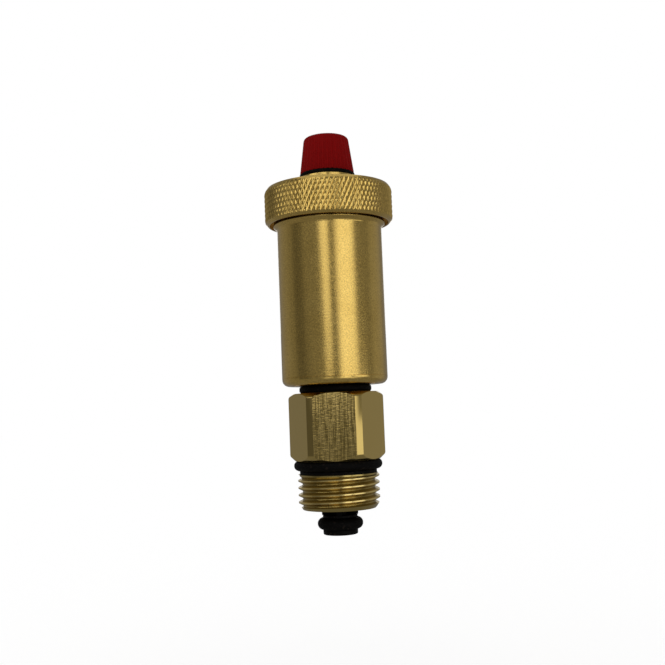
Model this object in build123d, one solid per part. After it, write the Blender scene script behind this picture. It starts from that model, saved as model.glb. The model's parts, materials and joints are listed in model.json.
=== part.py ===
from build123d import *
import os
from math import cos, pi, sqrt

# An automatic air release valve. A float-operated vent with a knurled cover and a red cap is screwed into
# a check valve, which shuts when the vent is taken off.
# All sizes are in millimetres. The origin is on the axis at the upper end of the inlet thread, level with
# the face of the boss that the valve screws into. +Z runs up to the cap, and -Y is the front.

# Clearances shared by every fit
seal_gap = 0.02
press_gap = 0.01
running_gap = 0.05
thread_gap = 0.05

# Bevel at the corners of a seal that fills its groove
sealed_ring_bevel = 0.25

# Inlet thread, G 1/2 B, drawn as a cylinder at its crest, and the neck above it
inlet_thread_r = 10.4
inlet_thread_length = 8.85
inlet_lead_in_height = 1.6
inlet_lead_in_depth = 1.04
neck_depth = 1.6

# Rings on the neck
neck_ring_height = 0.95
neck_ring_width = 1.05
shoulder_ring_section = 2.5

# Hexagon
hex_across_flats = 22.0
hex_height = 17.1
hex_corner_turned = 0.5
hex_chamfer_width = 1.3
hex_top_chamfer_height = 0.95
hex_foot_chamfer_height = 1.25

# Bores of the check valve, from the foot up
valve_bore_r = 4.7
seat_mouth_widening = 0.7
spring_chamber_r = 6.7
spring_ledge_height = 0.45
socket_depth = 11.1
socket_mouth_widening = 0.5

# Stub thread, G 3/8, drawn as a cylinder at its crest
stub_thread_r = 8.33
stub_thread_pitch = 1.337
stub_length = 11.78
stub_bore_r = 5.6
stub_lead_in = 0.65
stub_neck_depth = 1.13
shut_off_turns = 2

# Ring between the hexagon and the float chamber, squeezed flat
body_ring_height = 1.9
body_ring_outer_r = 9.29
body_ring_bevel = 0.5

# Poppet and what it carries
poppet_ring_section = 3.0
poppet_groove_r = 2.8
poppet_foot_height = 1.25
poppet_foot_bevel = 0.3
poppet_flange_height = 0.65
poppet_side_gap = 0.28
wing_side_gap = 0.1
wing_thickness = 1.4
wing_count = 4
poppet_tip_r = 2.0
poppet_snap_height = 0.6
poppet_snap_reach = 0.25
plate_thickness = 1.6
plate_side_gap = 0.3
plate_port_width = 2.0
plate_port_count = 4
plate_port_span = 52.0
poppet_spring_wire = 0.7
poppet_spring_side_gap = 0.7
poppet_spring_turns = 4.5

# Float chamber
chamber_outer_r = 13.6
chamber_wall = 1.4
chamber_floor = 2.0
chamber_foot_round = 1.8
chamber_floor_round = 1.5
collar_cone_height = 1.45
collar_flare_round = 3.0
collar_reach = 0.95
collar_height = 0.95
cover_thread_length = 4.0
cover_thread_step = 0.2
rim_height = 1.8
rim_wall = 0.7

# Cover
cover_outer_r = 16.7
cover_skirt_depth = 6.45
cover_foot_bevel_height = 1.1
cover_foot_bevel_width = 0.85
cover_mouth_depth = 1.0
cover_mouth_gap = 0.3
cover_roof = 3.05
cover_shoulder_height = 1.45
cover_shoulder_width = 0.7
boss_r = 7.35
boss_height = 2.85
boss_foot_round = 0.55
spigot_r = 4.0
spigot_height = 7.2
spigot_lead_in = 0.4
vent_passage_r = 0.8

# Cap and its ring
cap_ring_height = 1.1
cap_ring_outer_r = 7.25
cap_ring_bevel = 0.3
cap_height = 9.65
cap_foot_r = 7.1
cap_top_r = 5.8
cap_top_round = 1.0
cap_bore_depth = 7.0
cap_flute_count = 36
cap_flute_depth = 0.25
cap_flute_width = 0.8
cap_flute_stop = 1.0

# Nozzle
nozzle_shank_r = 3.2
nozzle_shank_length = 3.5
nozzle_flange_r = 4.2
nozzle_flange_height = 0.8
nozzle_lip_r = 1.5
nozzle_lip_height = 0.4
nozzle_orifice_r = 0.75
nozzle_ring_section = 0.9
nozzle_ring_drop = 1.0

# Float and its hook
float_side_gap = 1.0
float_rest_gap = 0.3
float_height = 33.2
float_wall = 1.2
float_crown = 1.6
float_shoulder = 2.4
float_travel = 2.4
float_headroom = 0.7
hook_shank_r = 0.8
hook_foot_r = 2.2
hook_foot_height = 1.0
hook_disc_r = 1.5
hook_disc_height = 0.8

# Lever, its pin and its bracket
pivot_to_obturator = 5.0
pivot_to_float = 12.0
lever_drop = 5.25
lever_thickness = 0.8
lever_half_width = 3.0
lever_eye_wall = 0.6
lever_bead_r = 0.85
lever_bead_slack = 0.1
lever_slot_side_gap = 0.25
lever_slot_end_gap = 0.5
lever_end_margin = 1.3
pin_r = 0.6
pin_head_r = 1.0
pin_head_height = 0.4
bracket_thickness = 0.8
bracket_side_gap = 0.3
bracket_ear_half_length = 2.0
bracket_plate_r = 5.6

# Obturator
obturator_stem_r = 0.9
obturator_collar_r = 1.6
obturator_collar_height = 0.6
obturator_head_r = 2.2
obturator_seal_r = 1.7
obturator_seal_height = 0.75
obturator_seal_proud = 0.15
obturator_tail = 0.2
obturator_spring_length = 2.2
obturator_spring_wire = 0.3
obturator_spring_side_gap = 0.3
obturator_spring_turns = 3.5

# Radii that follow from the sizes above
neck_r = inlet_thread_r - neck_depth
hex_corner_r = hex_across_flats / 2 / cos(pi / 6) - hex_corner_turned
seat_mouth_r = valve_bore_r + seat_mouth_widening
socket_r = stub_thread_r + thread_gap
stub_neck_r = stub_thread_r - stub_neck_depth
chamber_r = chamber_outer_r - chamber_wall
collar_r = chamber_outer_r + collar_reach
cover_thread_r = collar_r - cover_thread_step
cover_bore_r = cover_thread_r + thread_gap
rim_r = chamber_r + rim_wall
cover_ring_section = cover_bore_r - rim_r - 2 * seal_gap
poppet_r = valve_bore_r - poppet_side_gap
wing_r = valve_bore_r - wing_side_gap
plate_r = spring_chamber_r - plate_side_gap
float_r = chamber_r - float_side_gap
cap_bore_r = spigot_r + thread_gap
cap_flute_slope = cap_flute_width / 2 / cap_flute_depth
lever_eye_r = pin_r + running_gap + lever_eye_wall
lever_slot_half_width = obturator_stem_r + lever_slot_side_gap

# Motion: the stroke of the shut-off, and the share of the float's travel that reaches the obturator
shut_off_stroke = shut_off_turns * stub_thread_pitch
obturator_stroke = float_travel * pivot_to_obturator / pivot_to_float

# Heights on the axis, from the boss's face at zero
hex_foot_z = neck_ring_height + shoulder_ring_section
hex_top_z = hex_foot_z + hex_height
socket_z = hex_top_z - socket_depth
chamber_foot_z = hex_top_z + body_ring_height
stub_end_z = chamber_foot_z - stub_length
plate_top_z = stub_end_z - seal_gap
plate_foot_z = plate_top_z - plate_thickness
thread_foot_z = -inlet_thread_length

# The float chamber is as tall as its float and the lever gear above it need
chamber_floor_z = chamber_foot_z + chamber_floor
float_foot_z = chamber_floor_z + float_rest_gap
float_top_z = float_foot_z + float_height
bridge_foot_z = float_top_z + float_travel + float_headroom
bridge_top_z = bridge_foot_z + bracket_thickness
collar_face_z = bridge_top_z + obturator_spring_length + obturator_collar_height
lever_z = collar_face_z + lever_bead_r + lever_bead_slack
head_face_z = lever_z + lever_bead_r + lever_bead_slack
ceiling_z = lever_z + lever_drop
nozzle_flange_z = ceiling_z - bracket_thickness - nozzle_flange_height
nozzle_lip_z = nozzle_flange_z - nozzle_lip_height
obturator_top_z = nozzle_lip_z - obturator_stroke - seal_gap

# Its collar and thread, from the ceiling down, then the cover and cap
cover_thread_top_z = ceiling_z - rim_height
collar_top_z = cover_thread_top_z - cover_thread_length
collar_foot_z = collar_top_z - collar_height
barrel_top_z = collar_foot_z - collar_cone_height
cover_foot_z = ceiling_z - cover_skirt_depth
cover_top_z = ceiling_z + cover_roof
boss_top_z = cover_top_z + boss_height
cap_foot_z = boss_top_z + cap_ring_height
cap_top_z = cap_foot_z + cap_height


def turned(points, rounds=()):
    """A piece turned on a lathe from (radius, height) corners. Each round is a corner and its radius."""
    outline = make_face(Polyline(*points, close=True))
    for corner, radius in rounds:
        outline = fillet(outline.vertices().sort_by_distance((*corner, 0))[0], radius)
    return revolve(Plane.XZ * outline, Axis.Z)


def o_ring(inner_r, section, foot_z):
    """A round ring whose inside and underside lie at the given radius and height."""
    circle = Pos(inner_r + section / 2, foot_z + section / 2) * Circle(section / 2)
    return revolve(Plane.XZ * circle, Axis.Z)


def squeezed_ring(inner_r, outer_r, foot_z, top_z, bevel):
    """A seal that fills its groove: flat on all four sides, with a bevel left at each corner."""
    return turned([
        (inner_r + bevel, foot_z),
        (outer_r - bevel, foot_z),
        (outer_r, foot_z + bevel),
        (outer_r, top_z - bevel),
        (outer_r - bevel, top_z),
        (inner_r + bevel, top_z),
        (inner_r, top_z - bevel),
        (inner_r, foot_z + bevel),
    ])


def disc(radius, foot_z, top_z):
    """A plain round disc on the axis."""
    return Pos(0, 0, foot_z) * extrude(Circle(radius), top_z - foot_z)


def coil_spring(wire, mean_r, foot_z, top_z, turns):
    """An open coil between two faces. Its wire is drawn six-sided, which keeps the coil light."""
    rise = top_z - foot_z - wire
    path = Pos(0, 0, foot_z + wire / 2) * Helix(pitch=rise / turns, height=rise, radius=mean_r)
    section = Plane(origin=path @ 0, x_dir=(1, 0, 0), z_dir=path % 0) * RegularPolygon(wire / 2, 6)
    return sweep(section, path=path, is_frenet=True)


def block(x_low, x_high, y_low, y_high, z_low, z_high):
    """A rectangular block between two corners."""
    size = (x_high - x_low, y_high - y_low, z_high - z_low)
    return Pos(x_low, y_low, z_low) * Box(*size, align=(Align.MIN, Align.MIN, Align.MIN))


def across(radius, x, z, half_length):
    """A round bar along Y, centred on the axis plane."""
    return Pos(x, 0, z) * Rot(90, 0, 0) * Cylinder(radius, 2 * half_length)


def check_valve_body():
    """Hexagon, neck and inlet thread in one turning, with the seat at its foot and the socket on top."""
    hexagon = Pos(0, 0, hex_foot_z) * extrude(
        RegularPolygon(hex_across_flats / 2, 6, major_radius=False), hex_height
    )
    face_r = hex_corner_r - hex_chamfer_width
    hexagon &= turned([
        (0, hex_foot_z),
        (face_r, hex_foot_z),
        (hex_corner_r, hex_foot_z + hex_foot_chamfer_height),
        (hex_corner_r, hex_top_z - hex_top_chamfer_height),
        (face_r, hex_top_z),
        (0, hex_top_z),
    ])
    thread = turned([
        (0, thread_foot_z),
        (inlet_thread_r - inlet_lead_in_depth, thread_foot_z),
        (inlet_thread_r, thread_foot_z + inlet_lead_in_height),
        (inlet_thread_r, 0),
        (neck_r, 0),
        (neck_r, hex_foot_z),
        (0, hex_foot_z),
    ])
    bores = turned([
        (0, thread_foot_z),
        (seat_mouth_r, thread_foot_z),
        (valve_bore_r, thread_foot_z + seat_mouth_widening),
        (valve_bore_r, spring_ledge_height),
        (spring_chamber_r, spring_ledge_height),
        (spring_chamber_r, socket_z),
        (socket_r, socket_z),
        (socket_r, hex_top_z - socket_mouth_widening),
        (socket_r + socket_mouth_widening, hex_top_z),
        (0, hex_top_z),
    ])
    return hexagon + thread - bores


def neck_ring():
    """Thin flat ring that backs the shoulder ring."""
    inner_r = neck_r + seal_gap
    outer_r = neck_r + neck_ring_width
    return turned([(inner_r, 0), (outer_r, 0), (outer_r, neck_ring_height), (inner_r, neck_ring_height)])


def shoulder_ring():
    """Ring that seals the hexagon on the boss."""
    return o_ring(neck_r + seal_gap, shoulder_ring_section, neck_ring_height)


# The poppet hangs from the plate, and its ring meets the conical seat at the end of the shut-off stroke
poppet_ring_r = poppet_groove_r + poppet_ring_section / 2
ring_reach = (poppet_ring_section / 2 + seal_gap) * sqrt(2)
poppet_ring_shut_z = thread_foot_z + seat_mouth_r - poppet_ring_r - ring_reach
poppet_ring_z = poppet_ring_shut_z - shut_off_stroke
groove_foot_z = poppet_ring_z - poppet_ring_section / 2 - seal_gap
groove_top_z = poppet_ring_z + poppet_ring_section / 2 + seal_gap
poppet_foot_z = groove_foot_z - poppet_foot_height
flange_top_z = groove_top_z + poppet_flange_height


def poppet():
    """Stem with a grooved foot, guide wings in the bore, and a tip that snaps into the plate."""
    foot = turned([
        (0, poppet_foot_z),
        (poppet_r - poppet_foot_bevel, poppet_foot_z),
        (poppet_r, poppet_foot_z + poppet_foot_bevel),
        (poppet_r, groove_foot_z),
        (poppet_groove_r - seal_gap, groove_foot_z),
        (poppet_groove_r - seal_gap, groove_top_z),
        (poppet_r, groove_top_z),
        (poppet_r, flange_top_z),
        (0, flange_top_z),
    ])
    wings = Sketch() + [
        Rot(0, 0, turn * 360 / wing_count) * Pos(wing_r / 2, 0) * Rectangle(wing_r, wing_thickness)
        for turn in range(wing_count)
    ]
    stem = Pos(0, 0, flange_top_z) * extrude(wings & Circle(wing_r), plate_foot_z - flange_top_z)
    snap_z = plate_top_z + seal_gap
    tip = turned([
        (0, plate_foot_z),
        (poppet_tip_r, plate_foot_z),
        (poppet_tip_r, snap_z),
        (poppet_tip_r + poppet_snap_reach, snap_z),
        (poppet_tip_r - poppet_snap_reach, snap_z + poppet_snap_height),
        (0, snap_z + poppet_snap_height),
    ])
    return foot + stem + tip


def poppet_ring():
    """Ring in the poppet's groove, which closes on the seat."""
    return o_ring(poppet_groove_r, poppet_ring_section, groove_foot_z + seal_gap)


def spring_plate():
    """Plate on the poppet's tip, with kidney ports between its hub and its rim."""
    plate = disc(plate_r, plate_foot_z, plate_top_z)
    plate -= disc(poppet_tip_r + press_gap, plate_foot_z, plate_top_z)
    port_r = plate_r - poppet_spring_side_gap - poppet_spring_wire - plate_port_width / 2
    port = SlotArc(CenterArc((0, 0), port_r, -plate_port_span / 2, plate_port_span), plate_port_width)
    ports = Sketch() + [Rot(0, 0, turn * 360 / plate_port_count) * port for turn in range(plate_port_count)]
    return plate - Pos(0, 0, plate_foot_z) * extrude(ports, plate_thickness)


def poppet_spring():
    """Spring between the ledge and the plate."""
    mean_r = plate_r - poppet_spring_side_gap / 2 - poppet_spring_wire / 2
    return coil_spring(
        poppet_spring_wire, mean_r, spring_ledge_height + seal_gap, plate_foot_z - seal_gap, poppet_spring_turns
    )


def body_ring():
    """Ring between the hexagon and the float chamber, squeezed to fill its gap."""
    inner_r = stub_neck_r + running_gap
    foot_z = hex_top_z + seal_gap
    return squeezed_ring(inner_r, body_ring_outer_r, foot_z, chamber_foot_z - seal_gap, body_ring_bevel)


def body():
    """Float chamber: a cup with a threaded stub under it, and a collar, a thread and a rim for the cover."""
    foot_corner = (chamber_outer_r, chamber_foot_z)
    floor_corner = (chamber_r, chamber_floor_z)
    flare_corner = (chamber_outer_r, barrel_top_z)
    neck_top_z = hex_top_z - socket_mouth_widening
    return turned([
        (stub_bore_r, stub_end_z),
        (stub_thread_r - stub_lead_in, stub_end_z),
        (stub_thread_r, stub_end_z + stub_lead_in),
        (stub_thread_r, neck_top_z - stub_neck_depth),
        (stub_neck_r, neck_top_z),
        (stub_neck_r, chamber_foot_z),
        foot_corner,
        flare_corner,
        (collar_r, collar_foot_z),
        (collar_r, collar_top_z),
        (cover_thread_r, collar_top_z),
        (cover_thread_r, cover_thread_top_z),
        (rim_r, cover_thread_top_z),
        (rim_r, ceiling_z),
        (chamber_r, ceiling_z),
        floor_corner,
        (stub_bore_r, chamber_floor_z),
    ], [
        (foot_corner, chamber_foot_round),
        (floor_corner, chamber_floor_round),
        (flare_corner, collar_flare_round),
    ])


def cover_ring():
    """Ring on the rim's shoulder, inside the cover."""
    inner_r = rim_r + seal_gap
    top_z = cover_thread_top_z + cover_ring_section
    return squeezed_ring(inner_r, inner_r + cover_ring_section, cover_thread_top_z, top_z, sealed_ring_bevel)


def cover():
    """Cover: skirt and grip band, roof, boss, and the spigot that the cap screws on."""
    mouth_r = collar_r + cover_mouth_gap
    mouth_z = cover_foot_z + cover_mouth_depth
    shoulder_z = cover_top_z - cover_shoulder_height
    shoulder_top_r = cover_outer_r - cover_shoulder_width
    boss_foot = (boss_r, cover_top_z)
    nozzle_bore_r = nozzle_shank_r + press_gap
    nozzle_bore_z = ceiling_z + nozzle_shank_length
    spigot_top_z = boss_top_z + spigot_height
    return turned([
        (mouth_r, cover_foot_z),
        (cover_outer_r - cover_foot_bevel_width, cover_foot_z),
        (cover_outer_r, cover_foot_z + cover_foot_bevel_height),
        (cover_outer_r, shoulder_z),
        (cover_outer_r - cover_shoulder_width / 3, shoulder_z + cover_shoulder_height / 2),
        (shoulder_top_r, cover_top_z),
        boss_foot,
        (boss_r, boss_top_z),
        (spigot_r, boss_top_z),
        (spigot_r, spigot_top_z - spigot_lead_in),
        (spigot_r - spigot_lead_in, spigot_top_z),
        (vent_passage_r, spigot_top_z),
        (vent_passage_r, nozzle_bore_z),
        (nozzle_bore_r, nozzle_bore_z),
        (nozzle_bore_r, ceiling_z),
        (cover_bore_r, ceiling_z),
        (cover_bore_r, mouth_z),
        (mouth_r, mouth_z),
    ], [(boss_foot, boss_foot_round)])


def cap_ring():
    """Flat rubber ring between the boss and the cap."""
    inner_r = cap_bore_r + seal_gap
    return squeezed_ring(inner_r, cap_ring_outer_r, boss_top_z + seal_gap, cap_foot_z - seal_gap, cap_ring_bevel)


def vent_cap():
    """Tapered cap with fine flutes that run out below its rounded top."""
    bore_top_z = cap_foot_z + cap_bore_depth
    top_corner = (cap_top_r, cap_top_z)
    cap = turned([
        (cap_bore_r, cap_foot_z),
        (cap_foot_r, cap_foot_z),
        top_corner,
        (0, cap_top_z),
        (0, bore_top_z),
        (cap_bore_r, bore_top_z),
    ], [(top_corner, cap_top_round)])
    root = Vector(cap_foot_r - cap_flute_depth, 0, cap_foot_z)
    run_out = Vector(cap_top_r, 0, cap_top_z - cap_flute_stop)
    groove = make_face(Polyline((0, 0), (1, cap_flute_slope), (1, -cap_flute_slope), close=True))
    run = run_out - root
    along = Plane(origin=root - run * 0.1, x_dir=run.cross(Vector(0, -1, 0)), z_dir=run)
    flute = extrude(along * groove, run.length * 1.2)
    return cap - [Rot(0, 0, turn * 360 / cap_flute_count) * flute for turn in range(cap_flute_count)]


def vent_nozzle():
    """Seat of the vent: a grooved shank in the cover, a flange that holds the bracket, and a lip."""
    shank_top_z = ceiling_z + nozzle_shank_length
    ring_foot_z = shank_top_z - nozzle_ring_drop - nozzle_ring_section
    groove_r = nozzle_shank_r - nozzle_ring_section
    return turned([
        (nozzle_orifice_r, nozzle_lip_z),
        (nozzle_lip_r, nozzle_lip_z),
        (nozzle_lip_r, nozzle_flange_z),
        (nozzle_flange_r, nozzle_flange_z),
        (nozzle_flange_r, nozzle_flange_z + nozzle_flange_height),
        (nozzle_shank_r, nozzle_flange_z + nozzle_flange_height),
        (nozzle_shank_r, ring_foot_z - seal_gap),
        (groove_r, ring_foot_z - seal_gap),
        (groove_r, ring_foot_z + nozzle_ring_section + seal_gap),
        (nozzle_shank_r, ring_foot_z + nozzle_ring_section + seal_gap),
        (nozzle_shank_r, shank_top_z),
        (nozzle_orifice_r, shank_top_z),
    ])


def nozzle_ring():
    """Ring in the nozzle's groove."""
    top_z = ceiling_z + nozzle_shank_length - nozzle_ring_drop
    inner_r = nozzle_shank_r - nozzle_ring_section
    foot_z = top_z - nozzle_ring_section
    return squeezed_ring(inner_r, nozzle_shank_r, foot_z, top_z, sealed_ring_bevel)


def float_bell():
    """Float: a bell, open below, with a bevelled shoulder and a socket for its hook."""
    inner_r = float_r - float_wall
    crown_z = float_top_z - float_crown
    bell = turned([
        (float_r, float_foot_z),
        (float_r, float_top_z - float_shoulder),
        (float_r - float_shoulder, float_top_z),
        (0, float_top_z),
        (0, crown_z),
        (inner_r - float_shoulder, crown_z),
        (inner_r, crown_z - float_shoulder),
        (inner_r, float_foot_z),
    ])
    hook_x = pivot_to_float - pivot_to_obturator
    socket = disc(hook_foot_r + press_gap, float_top_z - hook_foot_height, float_top_z)
    return bell - Pos(hook_x, 0, 0) * socket


def float_hook():
    """Hook in the float's crown: a shank through the lever's end, with a disc on each side of it."""
    hook = disc(hook_foot_r, float_top_z - hook_foot_height, float_top_z)
    hook += disc(hook_shank_r, float_top_z, head_face_z + hook_disc_height)
    hook += disc(hook_disc_r, collar_face_z - hook_disc_height, collar_face_z)
    hook += disc(hook_disc_r, head_face_z, head_face_z + hook_disc_height)
    return Pos(pivot_to_float - pivot_to_obturator, 0, 0) * hook


def lever():
    """Pressed lever: an eye at the pivot, and a slot with a rounded bead at the obturator and at the float."""
    float_x = pivot_to_float - pivot_to_obturator
    eye_x = -pivot_to_obturator
    half = lever_thickness / 2
    slot_half_length = obturator_stem_r + lever_slot_end_gap
    end_x = float_x + slot_half_length + lever_end_margin
    blade = block(eye_x, end_x, -lever_half_width, lever_half_width, lever_z - half, lever_z + half)
    blade += across(lever_eye_r, eye_x, lever_z, lever_half_width)
    for x in (0, float_x):
        blade += across(lever_bead_r, x, lever_z, lever_half_width)
    for x in (0, float_x):
        slot = SlotOverall(2 * slot_half_length, 2 * lever_slot_half_width)
        depth = 2 * lever_bead_r
        blade -= Pos(x, 0, lever_z - lever_bead_r) * extrude(slot, depth)
    return blade - across(pin_r + running_gap, eye_x, lever_z, lever_half_width)


ear_inner_y = lever_half_width + bracket_side_gap
ear_outer_y = ear_inner_y + bracket_thickness


def lever_pin():
    """Pivot pin, headed outside each ear of the bracket."""
    pin = across(pin_r, -pivot_to_obturator, lever_z, ear_outer_y + pin_head_height)
    for side in (-1, 1):
        head = across(pin_head_r, -pivot_to_obturator, lever_z, pin_head_height / 2)
        pin += Pos(0, side * (ear_outer_y + pin_head_height / 2), 0) * head
    return pin


def lever_bracket():
    """Pressed bracket: a plate under the cover, two ears for the pin, and a bridge that guides the obturator."""
    back_x = -pivot_to_obturator - bracket_ear_half_length
    front_x = -pivot_to_obturator + bracket_ear_half_length
    plate_z = ceiling_z - bracket_thickness
    bridge_x = obturator_collar_r + bracket_thickness
    bracket = disc(bracket_plate_r, plate_z, ceiling_z)
    bracket += block(back_x, 0, -ear_outer_y, ear_outer_y, plate_z, ceiling_z)
    for side in (-1, 1):
        low_y, high_y = sorted((side * ear_inner_y, side * ear_outer_y))
        bracket += block(back_x, front_x, low_y, high_y, bridge_foot_z, ceiling_z)
    bracket += block(back_x, bridge_x, -ear_outer_y, ear_outer_y, bridge_foot_z, bridge_top_z)
    bracket -= across(pin_r + press_gap, -pivot_to_obturator, lever_z, ear_outer_y)
    bracket -= disc(nozzle_shank_r + press_gap, plate_z, ceiling_z)
    return bracket - disc(obturator_stem_r + running_gap, bridge_foot_z, bridge_top_z)


def obturator():
    """Stem that closes the vent: a collar under the lever, and a cupped head over it."""
    stem_foot_z = bridge_foot_z - obturator_stroke - obturator_tail
    cup_top_z = obturator_top_z - obturator_seal_proud
    cup_floor_z = obturator_top_z - obturator_seal_height
    cup_r = obturator_seal_r + press_gap
    return turned([
        (0, stem_foot_z),
        (obturator_stem_r, stem_foot_z),
        (obturator_stem_r, collar_face_z - obturator_collar_height),
        (obturator_collar_r, collar_face_z - obturator_collar_height),
        (obturator_collar_r, collar_face_z),
        (obturator_stem_r, collar_face_z),
        (obturator_stem_r, head_face_z),
        (obturator_head_r, head_face_z),
        (obturator_head_r, cup_top_z),
        (cup_r, cup_top_z),
        (cup_r, cup_floor_z),
        (0, cup_floor_z),
    ])


def obturator_seal():
    """Rubber disc in the obturator's head."""
    return disc(obturator_seal_r, obturator_top_z - obturator_seal_height, obturator_top_z)


def obturator_spring():
    """Light spring between the bracket's bridge and the obturator's collar."""
    mean_r = obturator_stem_r + obturator_spring_side_gap + obturator_spring_wire / 2
    collar_foot = collar_face_z - obturator_collar_height
    return coil_spring(
        obturator_spring_wire, mean_r, bridge_top_z + seal_gap, collar_foot - seal_gap, obturator_spring_turns
    )


pieces = {
    "check_valve_body": check_valve_body,
    "shoulder_o_ring": shoulder_ring,
    "neck_ring": neck_ring,
    "poppet": poppet,
    "poppet_o_ring": poppet_ring,
    "poppet_spring": poppet_spring,
    "spring_plate": spring_plate,
    "body_o_ring": body_ring,
    "body": body,
    "cover": cover,
    "cover_o_ring": cover_ring,
    "cap_seal": cap_ring,
    "vent_cap": vent_cap,
    "vent_nozzle": vent_nozzle,
    "nozzle_o_ring": nozzle_ring,
    "float": float_bell,
    "float_hook": float_hook,
    "lever": lever,
    "lever_pin": lever_pin,
    "lever_bracket": lever_bracket,
    "obturator": obturator,
    "obturator_seal": obturator_seal,
    "obturator_spring": obturator_spring,
}

os.makedirs("parts", exist_ok=True)
for name, make in pieces.items():
    export_step(make(), f"parts/{name}.step")
print("shut-off stroke", round(shut_off_stroke, 4), "obturator stroke", round(obturator_stroke, 4))
print("height", round(poppet_foot_z, 3), "to", round(cap_top_z, 3))
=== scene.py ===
"""Looks of an automatic air release valve: its threads, knurl, flutes, seals, finishes and studio."""

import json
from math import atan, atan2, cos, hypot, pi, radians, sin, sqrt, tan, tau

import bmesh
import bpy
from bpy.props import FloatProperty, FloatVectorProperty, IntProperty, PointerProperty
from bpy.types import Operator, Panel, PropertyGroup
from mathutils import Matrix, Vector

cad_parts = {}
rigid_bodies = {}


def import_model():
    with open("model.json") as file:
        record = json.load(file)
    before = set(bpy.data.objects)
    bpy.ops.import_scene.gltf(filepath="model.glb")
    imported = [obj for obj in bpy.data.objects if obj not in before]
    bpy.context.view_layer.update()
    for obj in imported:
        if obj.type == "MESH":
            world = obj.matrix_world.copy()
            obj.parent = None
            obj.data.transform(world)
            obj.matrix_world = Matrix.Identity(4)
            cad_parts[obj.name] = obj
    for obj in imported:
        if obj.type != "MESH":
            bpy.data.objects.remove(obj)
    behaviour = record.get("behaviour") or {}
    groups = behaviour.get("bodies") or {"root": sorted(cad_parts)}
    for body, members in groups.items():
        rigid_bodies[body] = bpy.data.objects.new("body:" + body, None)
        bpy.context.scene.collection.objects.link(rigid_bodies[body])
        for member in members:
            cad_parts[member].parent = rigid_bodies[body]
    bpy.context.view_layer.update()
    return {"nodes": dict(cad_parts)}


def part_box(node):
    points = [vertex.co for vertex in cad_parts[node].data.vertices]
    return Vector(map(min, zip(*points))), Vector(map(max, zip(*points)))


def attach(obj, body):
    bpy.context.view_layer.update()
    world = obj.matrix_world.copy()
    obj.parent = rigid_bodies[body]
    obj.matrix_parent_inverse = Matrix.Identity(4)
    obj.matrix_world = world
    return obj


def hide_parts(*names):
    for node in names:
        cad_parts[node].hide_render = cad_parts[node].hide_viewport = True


bl_info = {
    "name": "Air release valve",
    "version": (1, 0, 0),
    "blender": (4, 5, 0),
    "location": "View3D > Sidebar > Air valve",
    "description": "Models the visible pieces of an air release valve round its frame, and a studio for them",
    "category": "Object",
}

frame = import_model()

# One millimetre. Blanks and cutters also reach that far past the faces that they don't shape
MM = 0.001
WELD = 0.0005 * MM
# How far a range or a joined piece reaches past a face, so that none ends exactly on it
HAIR = 0.02 * MM
# Steps round a turned piece, a ring's section and a flute, on a rounded edge, a bevelled edge and a tooth's
# crest, and up the knurl
TURN_STEPS = 192
SECTION_STEPS = 48
FLUTE_STEPS = 24
ROUND_STEPS = 6
BEVEL_STEPS = 2
CREST_STEPS = 4
KNURL_STEPS = 14
# The 55 degree pipe thread: half its angle, and its sharp height and its rounds as shares of the pitch
HALF_ANGLE = radians(27.5)
SHARP_HEIGHT = 0.960491
TOOTH_ROUND = 0.137329
# Teeth drawn past each end of a thread, and then cut off
SPARE_TEETH = 2


def length(name, description, size):
    """A length property, with its default written in millimetres."""
    return FloatProperty(name=name, description=description, default=size * MM, unit="LENGTH")


def count(name, description, number):
    """A property for how many there are of something."""
    return IntProperty(name=name, description=description, default=number, min=1)


def slope(name, description, degrees):
    """An angle property, with its default written in degrees."""
    return FloatProperty(name=name, description=description, default=radians(degrees), unit="ROTATION")


def linear(hex_colour):
    """Turns an sRGB hex value into the linear colour that shaders take."""
    channels = [int(hex_colour[start:start + 2], 16) / 255 for start in (1, 3, 5)]
    return [c / 12.92 if c <= 0.04045 else ((c + 0.055) / 1.055) ** 2.4 for c in channels] + [1.0]


def colour(name, description, hex_colour):
    """A colour property, with its default written as an sRGB hex value."""
    return FloatVectorProperty(
        name=name, description=description, default=linear(hex_colour), size=4, min=0, max=1, subtype="COLOR"
    )


def foot(node):
    """Height of a node's lowest point."""
    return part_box(node)[0].z


def top(node):
    """Height of a node's highest point."""
    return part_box(node)[1].z


def reach(node):
    """Radius of a round node, from its box across the front."""
    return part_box(node)[1].y


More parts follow.
